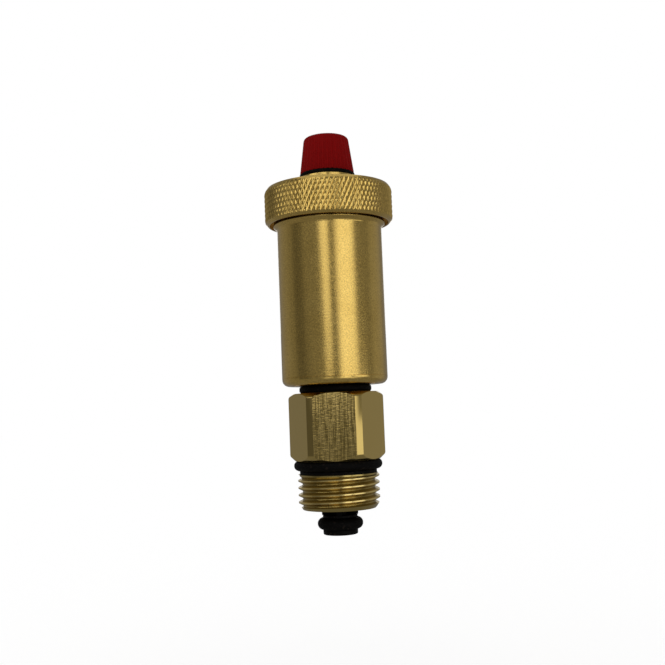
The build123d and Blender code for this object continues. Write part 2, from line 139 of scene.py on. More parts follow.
class CheckValveSizes(PropertyGroup):
    """Sizes of the check valve's body."""

    thread_r: length("Thread radius", "Crest radius of the inlet thread", 10.4)
    thread_pitch: length("Thread pitch", "Rise of that thread in one turn, 14 threads to the inch", 1.814)
    crest_trim: length("Crest trim", "How far its round crests are turned down flat", 0.1)
    lead_in_height: length("Lead-in height", "Height of the cone at the thread's end", 1.6)
    lead_in_depth: length("Lead-in depth", "How far that cone draws in", 1.04)
    run_out_r: length("Run-out radius", "Radius of the plain band where the thread runs out", 10.0)
    run_out_height: length("Run-out height", "Height of that band", 0.75)
    neck_r: length("Neck radius", "Radius between the thread and the hexagon", 8.8)
    corner_r: length("Corner radius", "Radius that the hexagon's corners are turned to", 12.2)
    face_r: length("Face radius", "Radius where the hexagon's end faces begin", 10.9)
    top_drop: length("Top chamfer", "Height of the hexagon's upper chamfer", 0.95)
    foot_drop: length("Foot chamfer", "Height of the hexagon's lower chamfer", 1.25)
    corner_round: length("Corner round", "Round where the chamfers meet the corners", 0.8)
    seat_mouth_r: length("Seat mouth radius", "Radius of the poppet's seat at the thread's end", 5.4)
    bore_r: length("Bore radius", "Radius of the bore round the poppet", 4.7)
    chamber_r: length("Spring chamber radius", "Radius of the chamber round the spring", 6.7)
    chamber_z: length("Spring chamber foot", "Height of the ledge that the spring stands on", 0.45)
    socket_r: length("Socket radius", "Radius of the socket for the vent's stub", 8.38)
    socket_depth: length("Socket depth", "Depth of that socket", 11.1)
    socket_mouth: length("Socket mouth", "Chamfer at the socket's mouth", 0.5)


class ChamberSizes(PropertyGroup):
    """Sizes of the float chamber."""

    joint_gap: length("Joint gap", "Gap between the hexagon and the barrel", 1.9)
    wall: length("Wall", "Thickness of the barrel", 1.4)
    floor: length("Floor", "Thickness of the floor", 2.0)
    foot_round: length("Foot round", "Round under the barrel", 1.8)
    neck_edge: length("Neck edge", "Round between the stub's neck and the barrel", 0.2)
    scribed_drop: length("Line height", "Height of the fine line above that round", 0.25)
    scribed_depth: length("Line depth", "Depth of that line", 0.04)
    floor_round: length("Floor round", "Round inside, at the floor", 1.5)
    collar_r: length("Collar radius", "Radius of the collar under the cover", 14.55)
    collar_reach: length("Collar reach", "How far the collar stands out from the barrel", 0.95)
    cone_height: length("Cone height", "Height of the flare under the collar", 0.85)
    flare_round: length("Flare round", "Round where the flare leaves the barrel", 0.9)
    collar_height: length("Collar height", "Height of the collar's rim", 0.05)
    collar_edge: length("Collar edge", "Round at the collar's lower edge", 0.05)
    thread_length: length("Cover thread length", "Length of the thread under the cover", 4.95)
    thread_step: length("Cover thread step", "How much smaller that thread is than the collar", 0.2)
    rim_height: length("Rim height", "Height of the rim above that thread", 1.8)
    rim_wall: length("Rim wall", "Thickness of the rim", 0.7)
    stub_r: length("Stub radius", "Crest radius of the stub's thread", 8.33)
    stub_pitch: length("Stub pitch", "Rise of the stub's thread in one turn, 19 threads to the inch", 1.337)
    stub_bore_r: length("Stub bore radius", "Radius of the passage through the stub", 5.6)
    stub_neck_r: length("Stub neck radius", "Radius between the stub's thread and the barrel", 7.2)
    stub_lead_in: length("Stub lead-in", "Chamfer at the stub's end", 0.65)
    stub_neck_drop: length("Stub neck drop", "How far below the hexagon's top the neck begins", 0.5)


class CoverSizes(PropertyGroup):
    """Sizes of the cover."""

    knurl_starts: count("Knurl starts", "Grooves round the cover in each direction", 89)
    knurl_slant: slope("Knurl slant", "Slant of the grooves from the axis", 25)
    knurl_depth: length("Knurl depth", "Depth of the grooves that slant to the right", 0.3)
    crossing_depth: length("Crossing depth", "Depth of the grooves that cross them", 0.18)
    foot_height: length("Foot height", "Height of the smooth bevel at the mouth", 0.9)
    foot_width: length("Foot width", "Width of that bevel", 0.8)
    foot_edge: length("Foot edge", "Round under that bevel", 0.15)
    knurl_edge: length("Knurl edge", "Round above it, where the knurl ends", 0.2)
    mouth_r: length("Mouth radius", "Radius of the recess at the mouth", 15.5)
    mouth_depth: length("Mouth depth", "Depth of that recess", 1.8)
    bore_r: length("Bore radius", "Radius of the bore over the thread", 14.4)
    ceiling: length("Roof thickness", "Thickness of the roof", 3.05)
    shoulder_height: length("Shoulder height", "Height of the rounded shoulder", 1.45)
    shoulder_width: length("Shoulder width", "Width of the rounded shoulder", 0.7)
    shoulder_round: length("Shoulder round", "Round between the knurl and the shoulder", 1.2)
    roof_edge: length("Roof edge", "Round between the shoulder and the roof", 0.2)
    boss_r: length("Boss radius", "Radius of the boss under the cap", 7.35)
    boss_height: length("Boss height", "Height of that boss", 2.85)
    boss_round: length("Boss round", "Round at the boss's foot", 0.55)
    boss_edge: length("Boss edge", "Round at the boss's top", 0.12)
    spigot_r: length("Spigot radius", "Crest radius of the spigot that carries the cap", 4.0)
    spigot_pitch: length("Spigot pitch", "Rise of its thread in one turn", 1.25)
    spigot_lead_in: length("Spigot lead-in", "Chamfer at the spigot's top", 0.4)
    nozzle_r: length("Nozzle bore", "Radius of the bore for the nozzle", 3.21)
    nozzle_depth: length("Nozzle depth", "Depth of that bore", 3.5)
    passage_r: length("Passage radius", "Radius of the air passage", 0.8)


class CapSizes(PropertyGroup):
    """Sizes of the red cap."""

    foot_r: length("Foot radius", "Radius at the foot", 7.1)
    foot_edge: length("Foot edge", "Round at the foot", 0.15)
    top_r: length("Top radius", "Radius at the top", 5.8)
    top_round: length("Top round", "Round at the top edge", 1.0)
    bore_r: length("Bore radius", "Radius of the bore over the spigot", 4.05)
    bore_depth: length("Bore depth", "Depth of that bore", 7.0)
    flutes: count("Flutes", "Grooves round the cap", 36)
    flute_r: length("Flute radius", "Radius of the cutter that makes a flute", 0.5)
    flute_depth: length("Flute depth", "Depth of a flute at the cap's foot", 0.25)
    flute_stop: length("Flute stop", "How far below the top the flutes run out", 1.0)
    cutter_stretch: FloatProperty(
        name="Cutter stretch", description="Length of that cutter by the flute's", default=1.3
    )


class SealSizes(PropertyGroup):
    """Sizes of the rubber rings."""

    shoulder_section: length("Shoulder ring section", "Thickness of the ring under the hexagon", 2.5)
    poppet_section: length("Poppet ring section", "Thickness of the ring on the poppet", 3.0)
    neck_ring_r: length("Neck ring bore", "Inner radius of the ring on the neck", 8.82)
    neck_ring_round: length("Neck ring round", "Round on the outside of that ring", 0.2)
    body_ring_r: length("Joint ring bore", "Inner radius of the ring under the chamber", 7.25)
    body_ring_round: length("Joint ring round", "Round on the outside of that ring", 0.72)
    cap_ring_r: length("Cap ring bore", "Inner radius of the ring under the cap", 4.07)
    cap_ring_round: length("Cap ring round", "Round on the outside of that ring", 0.4)
    parting_depth: length("Parting line", "Depth of the line that the mould leaves round a ring", 0.04)


class PoppetSizes(PropertyGroup):
    """Sizes of the black poppet."""

    stem_r: length("Foot radius", "Radius of the foot and the flange", 4.42)
    groove_r: length("Groove radius", "Radius of the groove for the ring", 2.78)
    foot_height: length("Foot height", "Height of the foot below the groove", 1.25)
    foot_round: length("Foot round", "Round under the foot", 0.35)
    edge_round: length("Edge round", "Round on the edges by the groove and the flange", 0.08)
    groove_height: length("Groove height", "Height of the groove", 3.04)
    flange_height: length("Flange height", "Height of the flange above the groove", 0.65)
    wing_r: length("Wing radius", "Reach of the wings that guide the stem", 4.6)
    wing_thickness: length("Wing thickness", "Thickness of a wing", 1.4)
    wing_edge: length("Wing edge", "Bevel on a wing's edges", 0.1)
    tip_r: length("Tip radius", "Radius of the tip in the plate", 2.0)
    snap_height: length("Snap height", "Height of the snap above the plate", 0.6)
    snap_reach: length("Snap reach", "How far the snap stands out", 0.25)


class FinishColours(PropertyGroup):
    """Colours of the materials."""

    brass: colour("Brass", "Bare turned brass", "#E6C572")
    brass_dull: colour("Dull brass", "The same brass where it has dulled a little", "#D2AF5C")
    cut: colour("Thread brass", "Paler brass on the inlet thread's crests", "#E6CC85")
    # Groove brass: the inlet thread's colour darkens towards its roots, by radius
    groove: colour("Groove brass", "Tarnished brass in that thread's grooves", "#B49F61")
    drawn: colour("Drawn brass", "The bar's own skin on the hexagon's flats", "#CDB26A")
    scored: colour("Scored brass", "That skin in the scratches of the front flat", "#9A8448")
    scored_bright: colour("Scored brass, bright", "The same between the scratches", "#E2C57A")
    cap: colour("Cap red", "Moulded red cap", "#6C0606")
    cap_pale: colour("Cap red, lighter", "The cap's red in its paler clouds", "#780707")
    # Speck colour on the black mouldings: partly dirt, partly painted sheen in the brown of reflected
    # highlights
    rubber: colour("Rubber", "Black seals", "#060504")
    rubber_dust_and_sheen: colour("Rubber dust", "Dust on the seals", "#1E1610")
    poppet: colour("Poppet black", "Moulded black poppet", "#050403")
    float_body: colour("Float", "Natural polypropylene float", "#DEDCD2")
    steel: colour("Steel", "Pressed stainless parts", "#C4C3BF")


class StudioSizes(PropertyGroup):
    """Camera and floor."""

    lens: FloatProperty(name="Lens", description="Focal length on a 36 mm sensor", default=50.42)
    distance: length("Distance", "From the camera to the valve's axis", 240.7)
    height: length("Height", "Height of the camera", 16.05)
    aside: length("Aside", "How far the camera stands beside the view line", -0.18)
    pitch: slope("Pitch", "How far the camera looks up", 4.77)
    roll: slope("Roll", "How far the camera leans", -2.2)
    turn: slope("Turn", "How far round the valve the camera stands", 3.2)
    floor_z: length("Floor", "Height of the floor, below the hanging valve", -60)
    floor_reach: length("Floor reach", "Half the width of the floor", 4000)


def deselect():
    """Leaves edit mode's work behind and selects nothing."""
    if bpy.context.object and bpy.context.object.mode == "EDIT":
        bpy.ops.object.mode_set(mode="OBJECT")
    bpy.ops.object.select_all(action="DESELECT")


def choose(piece):
    """Selects one piece alone, and makes it the active one."""
    deselect()
    bpy.context.view_layer.objects.active = piece
    piece.select_set(True)


def edit(piece):
    """Selects one piece, and all of its mesh, in edit mode."""
    choose(piece)
    bpy.ops.object.mode_set(mode="EDIT")
    bpy.ops.mesh.select_mode(type="VERT")
    bpy.ops.mesh.select_all(action="SELECT")


def pick(piece, wanted):
    """Selects the vertices of a piece in edit mode whose place passes a test."""
    mesh = bmesh.from_edit_mesh(piece.data)
    for vertex in mesh.verts:
        vertex.select = wanted(vertex.co)
    mesh.select_flush_mode()
    bmesh.update_edit_mesh(piece.data)


def settle(name):
    """Names the piece that was just added, and applies its place, turn and scale to its mesh."""
    piece = bpy.context.object
    piece.name = piece.data.name = name
    bpy.ops.object.transform_apply(location=True, rotation=True, scale=True)
    return piece


def point(name, place):
    """A piece of one vertex, left in edit mode to be drawn out from there."""
    deselect()
    bpy.ops.mesh.primitive_plane_add(size=MM, location=place)
    piece = settle(name)
    edit(piece)
    bpy.ops.mesh.merge(type="CENTER")
    return piece


def apply_modifier(piece, kind, **settings):
    """Adds a modifier with its settings to the active piece, and applies it."""
    bpy.ops.object.modifier_add(type=kind)
    modifier = piece.modifiers[-1]
    for name, value in settings.items():
        setattr(modifier, name, value)
    bpy.ops.object.modifier_apply(modifier=modifier.name)


def close_up(piece):
    """Welds a piece's doubles, turns its faces outwards and leaves edit mode."""
    edit(piece)
    bpy.ops.mesh.remove_doubles(threshold=WELD)
    bpy.ops.mesh.normals_make_consistent(inside=False)
    bpy.ops.object.mode_set(mode="OBJECT")
    return piece


def outline(name, corners):
    """Draws a wire through (radius, height) corners, and leaves it in edit mode.

    A wire that starts and ends on the axis stays open there, and any other is closed. A third number rounds
    a corner."""
    places = [Vector((corner[0], 0, corner[1])) for corner in corners]
    piece = point(name, places[0])
    closed = places[0].x > WELD or places[-1].x > WELD
    route = places + places[:1] if closed else places
    for start, end in zip(route, route[1:]):
        bpy.ops.mesh.extrude_vertices_move(TRANSFORM_OT_translate={"value": end - start})
    bpy.ops.mesh.select_all(action="SELECT")
    bpy.ops.mesh.remove_doubles(threshold=WELD)
    for index, corner in enumerate(corners):
        if len(corner) == 3:
            place = places[index]
            back = places[index - 1] - place
            ahead = places[(index + 1) % len(places)] - place
            setback = corner[2] / tan(back.angle(ahead) / 2)
            pick(piece, lambda co: (co - place).length < WELD)
            bpy.ops.mesh.bevel(offset=setback, segments=ROUND_STEPS, affect="VERTICES")
    bpy.ops.mesh.select_all(action="SELECT")
    return piece


def turned(name, corners):
    """A piece turned on a lathe from (radius, height) corners, or (radius, height, round) ones."""
    piece = outline(name, corners)
    bpy.ops.mesh.spin(steps=TURN_STEPS, angle=tau, center=(0, 0, 0), axis=(0, 0, 1))
    return close_up(piece)


def combine(piece, other, operation):
    """Joins, cuts or trims a closed piece with another, which is used up."""
    choose(piece)
    apply_modifier(piece, "BOOLEAN", operation=operation, object=other, solver="MANIFOLD")
    bpy.data.objects.remove(other)
    return piece


def slice_off(piece, height, up):
    """Cuts a piece off flat at a height, above it or below it, and closes the cut."""
    edit(piece)
    outwards = 1 if up else -1
    bpy.ops.mesh.bisect(
        plane_co=(0, 0, height), plane_no=(0, 0, outwards), threshold=WELD, use_fill=True, clear_outer=True
    )
    bpy.ops.object.mode_set(mode="OBJECT")


def threaded_bar(name, crest_r, pitch, low, high):
    """A right-hand threaded bar. Its 55 degree teeth are rounded at crest and root, as on a pipe thread."""
    sharp_height = SHARP_HEIGHT * pitch
    setback = TOOTH_ROUND * pitch / tan(HALF_ANGLE)
    # How far the middle of a bevelled tip lies below the sharp tip
    tip_loss = (2 - sqrt(2)) * setback * cos(HALF_ANGLE)
    sharp_crest = crest_r + tip_loss
    teeth = int((high - low) / pitch) + 2 * SPARE_TEETH
    first = low - SPARE_TEETH * pitch
    last = first + teeth * pitch
    piece = point(name, (sharp_crest - sharp_height, 0, first))
    for half_tooth in range(2 * teeth):
        step = sharp_height if half_tooth % 2 == 0 else -sharp_height
        bpy.ops.mesh.extrude_vertices_move(TRANSFORM_OT_translate={"value": (step, 0, pitch / 2)})
    pick(piece, lambda co: first + WELD < co.z < last - WELD)
    bpy.ops.mesh.bevel(offset=setback, segments=CREST_STEPS, affect="VERTICES")
    bpy.ops.object.mode_set(mode="OBJECT")
    apply_modifier(piece, "SCREW", steps=TURN_STEPS, render_steps=TURN_STEPS, screw_offset=pitch)
    close_up(piece)
    slice_off(piece, high, True)
    slice_off(piece, low, False)
    return close_up(piece)


def ridged_bar(name, crest_r, depth, starts, profile, twist, low, high):
    """A bar with slanting grooves all round, as one wheel of a knurling tool cuts them.

    The profile gives evenly spaced points from one root to the next, as shares of the groove's depth."""
    deselect()
    points = len(profile)
    bpy.ops.mesh.primitive_circle_add(vertices=points * starts, radius=crest_r, location=(0, 0, low))
    piece = settle(name)
    edit(piece)
    step = tau / (points * starts)
    for point, share in enumerate(profile):
        pick(piece, lambda co: round((atan2(co.x, co.y) + tau) / step) % points == point)
        inwards = 1 - share * depth / crest_r
        bpy.ops.transform.resize(value=(inwards, inwards, 1), center_override=(0, 0, low))
    bpy.ops.object.mode_set(mode="OBJECT")
    apply_modifier(
        piece, "SCREW", angle=twist, screw_offset=high - low, steps=KNURL_STEPS, render_steps=KNURL_STEPS
    )
    edit(piece)
    bpy.ops.mesh.fill_holes(sides=0)
    return close_up(piece)


def knurled_bar(name, crest_r, low, high, sizes):
    """A bar with a diamond knurl. The ridges that slant to the right stand out, as one wheel cut deeper."""
    twist = (high - low) * tan(sizes.knurl_slant) / crest_r
    starts = sizes.knurl_starts
    round_topped, sharp = (1, 0.62, 0.2, 0, 0.2, 0.62), (1, 0)
    bar = ridged_bar(name, crest_r, sizes.knurl_depth, starts, round_topped, twist, low, high)
    crossing = ridged_bar("crossing", crest_r, sizes.crossing_depth, starts, sharp, -twist, low, high)
    return combine(bar, crossing, "INTERSECT")


def o_ring(name, inner_r, section, low, parting_depth):
    """A moulded ring with the fine parting line that its mould leaves round its outside."""
    deselect()
    bpy.ops.mesh.primitive_torus_add(
        major_segments=TURN_STEPS, minor_segments=SECTION_STEPS, major_radius=inner_r + section / 2,
        minor_radius=section / 2, location=(0, 0, low + section / 2),
    )
    piece = settle(name)
    edit(piece)
    outer_r = inner_r + section
    pick(piece, lambda co: hypot(co.x, co.y) > outer_r - WELD)
    inwards = 1 - parting_depth / outer_r
    bpy.ops.transform.resize(value=(inwards, inwards, 1))
    return close_up(piece)


def add_node(tree, kind, inputs=(), **settings):
    """Adds a node, with its settings, and sets or links each of its inputs by name."""
    node = tree.nodes.new(kind)
    for name, value in settings.items():
        setattr(node, name, value)
    for name, value in dict(inputs).items():
        if isinstance(value, bpy.types.NodeSocket):
            tree.links.new(value, node.inputs[name])
        else:
            node.inputs[name].default_value = value
    return node


def new_material(name):
    """An empty material, and its node tree."""
    material = bpy.data.materials.new(name)
    material.use_nodes = True
    material.node_tree.nodes.clear()
    return material, material.node_tree


def scored_skin(tree, place, colours, front):
    """The bar's own skin, with its front flat scored: its colour, and the depth of the scores."""
    # Scores 0.15 mm wide: those along the flat are about 5 mm long, and those across it about 1 mm
    scores = []
    for stretch in ((1, 1, 0.03), (0.16, 0.16, 1)):
        lines = add_node(tree, "ShaderNodeVectorMath", {0: place, 1: stretch}, operation="MULTIPLY")
        scores.append(add_node(tree, "ShaderNodeTexNoise", {
            "Vector": lines.outputs["Vector"], "Scale": 6.5 / MM, "Detail": 0,
        }).outputs["Fac"])
    along, across = scores
    hatching = add_node(tree, "ShaderNodeMath", {
        0: across, 1: 0.65, 2: along,
    }, operation="MULTIPLY_ADD").outputs["Value"]
    depth = add_node(tree, "ShaderNodeMapRange", {
        "Value": hatching, "From Min": 0.5, "From Max": 1.15, "To Min": 0.0, "To Max": front,
    }, clamp=False)
    share = add_node(tree, "ShaderNodeMapRange", {
        "Value": hatching, "From Min": 0.62, "From Max": 1.03, "To Min": 0.0, "To Max": 1.0,
    })
    scored = add_node(tree, "ShaderNodeMix", {
        "Factor": share.outputs["Result"], "A": colours.scored, "B": colours.scored_bright,
    }, data_type="RGBA")
    skin = add_node(tree, "ShaderNodeMix", {
        "Factor": front, "A": colours.drawn, "B": scored.outputs["Result"],
    }, data_type="RGBA")
    return skin.outputs["Result"], depth.outputs["Result"]


def thread_tint(tree, place, colours, crest_r):
    """The colour of a thread that is paler on its crests and darker in its grooves, by radius."""
    level = add_node(tree, "ShaderNodeVectorMath", {0: place, 1: (1, 1, 0)}, operation="MULTIPLY")
    radius = add_node(tree, "ShaderNodeVectorMath", {0: level.outputs["Vector"]}, operation="LENGTH")
    crest = add_node(tree, "ShaderNodeMapRange", {
        "Value": radius.outputs["Value"], "From Min": crest_r - 0.4 * MM, "From Max": crest_r - 0.1 * MM,
    })
    return add_node(tree, "ShaderNodeMix", {
        "Factor": crest.outputs["Result"], "A": colours.groove, "B": colours.cut,
    }, data_type="RGBA").outputs["Result"]


def bare_brass(name, colours, skin=None, flat=None, crest_r=None):
    """Free-cutting brass bar, turned on a lathe and left bare: a soft mirror with fine rings round the axis.

    Over the heights of its skin, if it keeps any, the bar is still as drawn, and its front flat is scored
    along and across. The rest of such a bar is the inlet thread."""
    material, tree = new_material(name)
    place = add_node(tree, "ShaderNodeTexCoord").outputs["Object"]
    # Patches about 6 mm across, where the metal has been handled. They are a little dull, and stand a few
    # microns proud, so that reflections wander
    patches = add_node(tree, "ShaderNodeTexNoise", {"Vector": place, "Scale": 0.16 / MM, "Detail": 3})
    # Cutter rings 0.75 mm apart, far coarser than the real 0.05 mm feed so that they show. A wave texture
    # repeats 20 / tau times in a unit
    rings = add_node(tree, "ShaderNodeTexWave", {
        "Vector": place, "Scale": tau / 20 / (0.754 * MM), "Distortion": 0.6, "Detail": 2, "Detail Scale": 2,
    }, wave_type="BANDS", bands_direction="Z")
    # Grain about a quarter of a millimetre across, which the cutter leaves duller and brighter
    grain = add_node(tree, "ShaderNodeTexNoise", {"Vector": place, "Scale": 3.5 / MM, "Detail": 2})
    relief = add_node(tree, "ShaderNodeMath", {
        0: rings.outputs["Fac"], 1: 0.15, 2: grain.outputs["Fac"],
    }, operation="MULTIPLY_ADD")
    relief = add_node(tree, "ShaderNodeMath", {
        0: patches.outputs["Fac"], 1: 0.8, 2: relief.outputs["Value"],
    }, operation="MULTIPLY_ADD").outputs["Value"]
    gloss = add_node(tree, "ShaderNodeMapRange", {
        "Value": grain.outputs["Fac"], "From Min": 0.3, "From Max": 0.7, "To Min": 0.14, "To Max": 0.24,
    }).outputs["Result"]
    if skin:
        axes = add_node(tree, "ShaderNodeSeparateXYZ", {"Vector": place}).outputs
        middle, half = sum(skin) / 2, (skin[1] - skin[0]) / 2
        drawn = add_node(tree, "ShaderNodeMath", {
            0: axes["Z"], 1: middle, 2: half,
        }, operation="COMPARE").outputs["Value"]
        front = add_node(tree, "ShaderNodeMath", {
            0: axes["Y"], 1: -flat, 2: 0.05 * MM,
        }, operation="COMPARE").outputs["Value"]
        bar, depth = scored_skin(tree, place, colours, front)
        tint = add_node(tree, "ShaderNodeMix", {
            "Factor": drawn, "A": thread_tint(tree, place, colours, crest_r), "B": bar,
        }, data_type="RGBA").outputs["Result"]
        relief = add_node(tree, "ShaderNodeMix", {"Factor": drawn, "A": relief, "B": depth}).outputs["Result"]
        gloss = add_node(tree, "ShaderNodeMix", {"Factor": drawn, "A": gloss, "B": 0.13}).outputs["Result"]
    else:
        dulled = add_node(tree, "ShaderNodeMix", {
            "Factor": patches.outputs["Fac"], "A": colours.brass, "B": colours.brass_dull,
        }, data_type="RGBA")
        mottle = add_node(tree, "ShaderNodeMapRange", {
            "Value": grain.outputs["Fac"], "From Min": 0.3, "From Max": 0.7, "To Min": 0.76, "To Max": 1.22,
        })
        tint = add_node(tree, "ShaderNodeVectorMath", {
            0: dulled.outputs["Result"], "Scale": mottle.outputs["Result"],
        }, operation="SCALE").outputs["Vector"]
    bump = add_node(tree, "ShaderNodeBump", {"Height": relief, "Strength": 0.5, "Distance": 0.02 * MM})
    shader = add_node(tree, "ShaderNodeBsdfPrincipled", {
        "Base Color": tint, "Metallic": 1.0, "Roughness": gloss, "Normal": bump.outputs["Normal"],
    })
    add_node(tree, "ShaderNodeOutputMaterial", {"Surface": shader.outputs["BSDF"]})
    return material


def pressed_steel(colours):
    """Stainless strip and spring wire, as rolled: a pale grey sheen with a grain of 0.4 mm."""
    material, tree = new_material("pressed_stainless_steel")
    place = add_node(tree, "ShaderNodeTexCoord").outputs["Object"]
    grain = add_node(tree, "ShaderNodeTexNoise", {"Vector": place, "Scale": 2.5 / MM, "Detail": 3})
    gloss = add_node(tree, "ShaderNodeMapRange", {
        "Value": grain.outputs["Fac"], "From Min": 0.3, "From Max": 0.7, "To Min": 0.22, "To Max": 0.36,
    })
    bump = add_node(tree, "ShaderNodeBump", {
        "Height": grain.outputs["Fac"], "Strength": 0.2, "Distance": 0.01 * MM,
    })
    shader = add_node(tree, "ShaderNodeBsdfPrincipled", {
        "Base Color": colours.steel, "Metallic": 1.0, "Roughness": gloss.outputs["Result"],
        "Normal": bump.outputs["Normal"],
    })
    add_node(tree, "ShaderNodeOutputMaterial", {"Surface": shader.outputs["BSDF"]})
    return material


def plain_moulding(name, base, dust_and_sheen, roughness, specks_per_mm):
    """Moulded rubber or plastic of one colour: a dull sheen, an uneven skin, and fine specks that are partly
    dirt and partly a painted brownish sheen.
    """
    material, tree = new_material(name)
    place = add_node(tree, "ShaderNodeTexCoord").outputs["Object"]
    specks = add_node(tree, "ShaderNodeTexNoise", {
        "Vector": place, "Scale": specks_per_mm / MM, "Detail": 4, "Roughness": 0.6,
    })
    amount = add_node(tree, "ShaderNodeMapRange", {
        "Value": specks.outputs["Fac"], "From Min": 0.56, "From Max": 0.74, "To Min": 0.0, "To Max": 1.0,
    })
    # Specks scattered at random in the speck colour: partly dirt, partly a painted brownish sheen
    tint = add_node(tree, "ShaderNodeMix", {
        "Factor": amount.outputs["Result"], "A": base, "B": dust_and_sheen,
    }, data_type="RGBA")
    bump = add_node(tree, "ShaderNodeBump", {
        "Height": specks.outputs["Fac"], "Strength": 0.2, "Distance": 0.02 * MM,
    })
    shader = add_node(tree, "ShaderNodeBsdfPrincipled", {
        "Base Color": tint.outputs["Result"], "Roughness": roughness, "Specular IOR Level": 0.05,
        "Normal": bump.outputs["Normal"],
    })
    add_node(tree, "ShaderNodeOutputMaterial", {"Surface": shader.outputs["BSDF"]})
    return material


def moulded_red(colours):
    """Polypropylene, moulded in red: the soft sheen of a matt tool, with pale clouds about 1 mm across."""
    material, tree = new_material("moulded_red_polypropylene")
    place = add_node(tree, "ShaderNodeTexCoord").outputs["Object"]
    cloud = add_node(tree, "ShaderNodeTexNoise", {"Vector": place, "Scale": 0.9 / MM, "Detail": 3})
    amount = add_node(tree, "ShaderNodeMapRange", {
        "Value": cloud.outputs["Fac"], "From Min": 0.45, "From Max": 0.75, "To Min": 0.0, "To Max": 0.6,
    })
    tint = add_node(tree, "ShaderNodeMix", {
        "Factor": amount.outputs["Result"], "A": colours.cap, "B": colours.cap_pale,
    }, data_type="RGBA")
    bump = add_node(tree, "ShaderNodeBump", {
        "Height": cloud.outputs["Fac"], "Strength": 0.15, "Distance": 0.02 * MM,
    })
    shader = add_node(tree, "ShaderNodeBsdfPrincipled", {
        "Base Color": tint.outputs["Result"], "Roughness": 0.5, "Specular IOR Level": 0.015,
        "Normal": bump.outputs["Normal"],
    })
    add_node(tree, "ShaderNodeOutputMaterial", {"Surface": shader.outputs["BSDF"]})
    return material


def place_piece(piece, body, finish, node, sharp=28):
    """Smooths a finished piece, gives it its finish, and stands it in for a node on a body.

    Edges that turn by more degrees than sharp stay sharp."""
    choose(piece)
    bpy.ops.object.shade_smooth_by_angle(angle=radians(sharp))
    piece.data.materials.clear()
    piece.data.materials.append(bpy.data.materials[finish])
    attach(piece, body)
    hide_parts(node)


class VALVE_OT_check_valve_body(Operator):
    """Models the check valve's body, with its inlet thread and hexagon"""

    bl_idname = "valve.check_valve_body"
    bl_label = "Check valve body"

    def execute(self, context):
        s = context.scene.check_valve
        low, high = foot("check_valve_body"), top("check_valve_body")
        hex_foot = top("shoulder_o_ring")
        untrimmed_r = s.thread_r + s.crest_trim
        bar = threaded_bar("hexagon_check_valve_body", untrimmed_r, s.thread_pitch, low, 0)
        blank = turned("blank", [
            (0, low - MM), (s.thread_r - s.lead_in_depth, low - MM), (s.thread_r - s.lead_in_depth, low),
            (s.thread_r, low + s.lead_in_height), (s.thread_r, MM), (0, MM),
        ])
        combine(bar, blank, "INTERSECT")
        deselect()
        bpy.ops.mesh.primitive_cylinder_add(
            vertices=6, radius=reach("check_valve_body") / cos(pi / 6), depth=high - hex_foot,
            location=(0, 0, (high + hex_foot) / 2), rotation=(0, 0, pi / 6),
        )
        hexagon = settle("hexagon")
        corners_off = turned("corners_off", [
            (0, hex_foot - MM), (s.face_r - s.foot_drop, hex_foot - MM), (s.face_r, hex_foot),
            (s.corner_r, hex_foot + s.foot_drop, s.corner_round),
            (s.corner_r, high - s.top_drop, s.corner_round),
            (s.face_r, high), (s.face_r - s.top_drop, high + MM), (0, high + MM),
        ])
        combine(hexagon, corners_off, "INTERSECT")
        neck = turned("neck", [(0, -MM), (s.neck_r, -MM), (s.neck_r, hex_foot + MM), (0, hex_foot + MM)])
        combine(bar, neck, "UNION")
        run_out = turned("run_out", [
            (0, -s.run_out_height), (s.run_out_r - s.run_out_height / 2, -s.run_out_height),
            (s.run_out_r, -s.run_out_height / 2), (s.run_out_r, 0), (0, 0),
        ])
        combine(bar, run_out, "UNION")
        combine(bar, hexagon, "UNION")
        socket = high - s.socket_depth
        mouth = s.socket_r + s.socket_mouth
        seat_slope = s.seat_mouth_r - s.bore_r
        bores = turned("bores", [
            (0, low - MM), (s.seat_mouth_r + MM, low - MM), (s.bore_r, low + seat_slope),
            (s.bore_r, s.chamber_z), (s.chamber_r, s.chamber_z), (s.chamber_r, socket), (s.socket_r, socket),
            (s.socket_r, high - s.socket_mouth), (mouth + MM, high + MM), (0, high + MM),
        ])
        combine(bar, bores, "DIFFERENCE")
        place_piece(bar, "valve_side", "drawn_and_turned_brass", "check_valve_body", sharp=20)
        return {"FINISHED"}


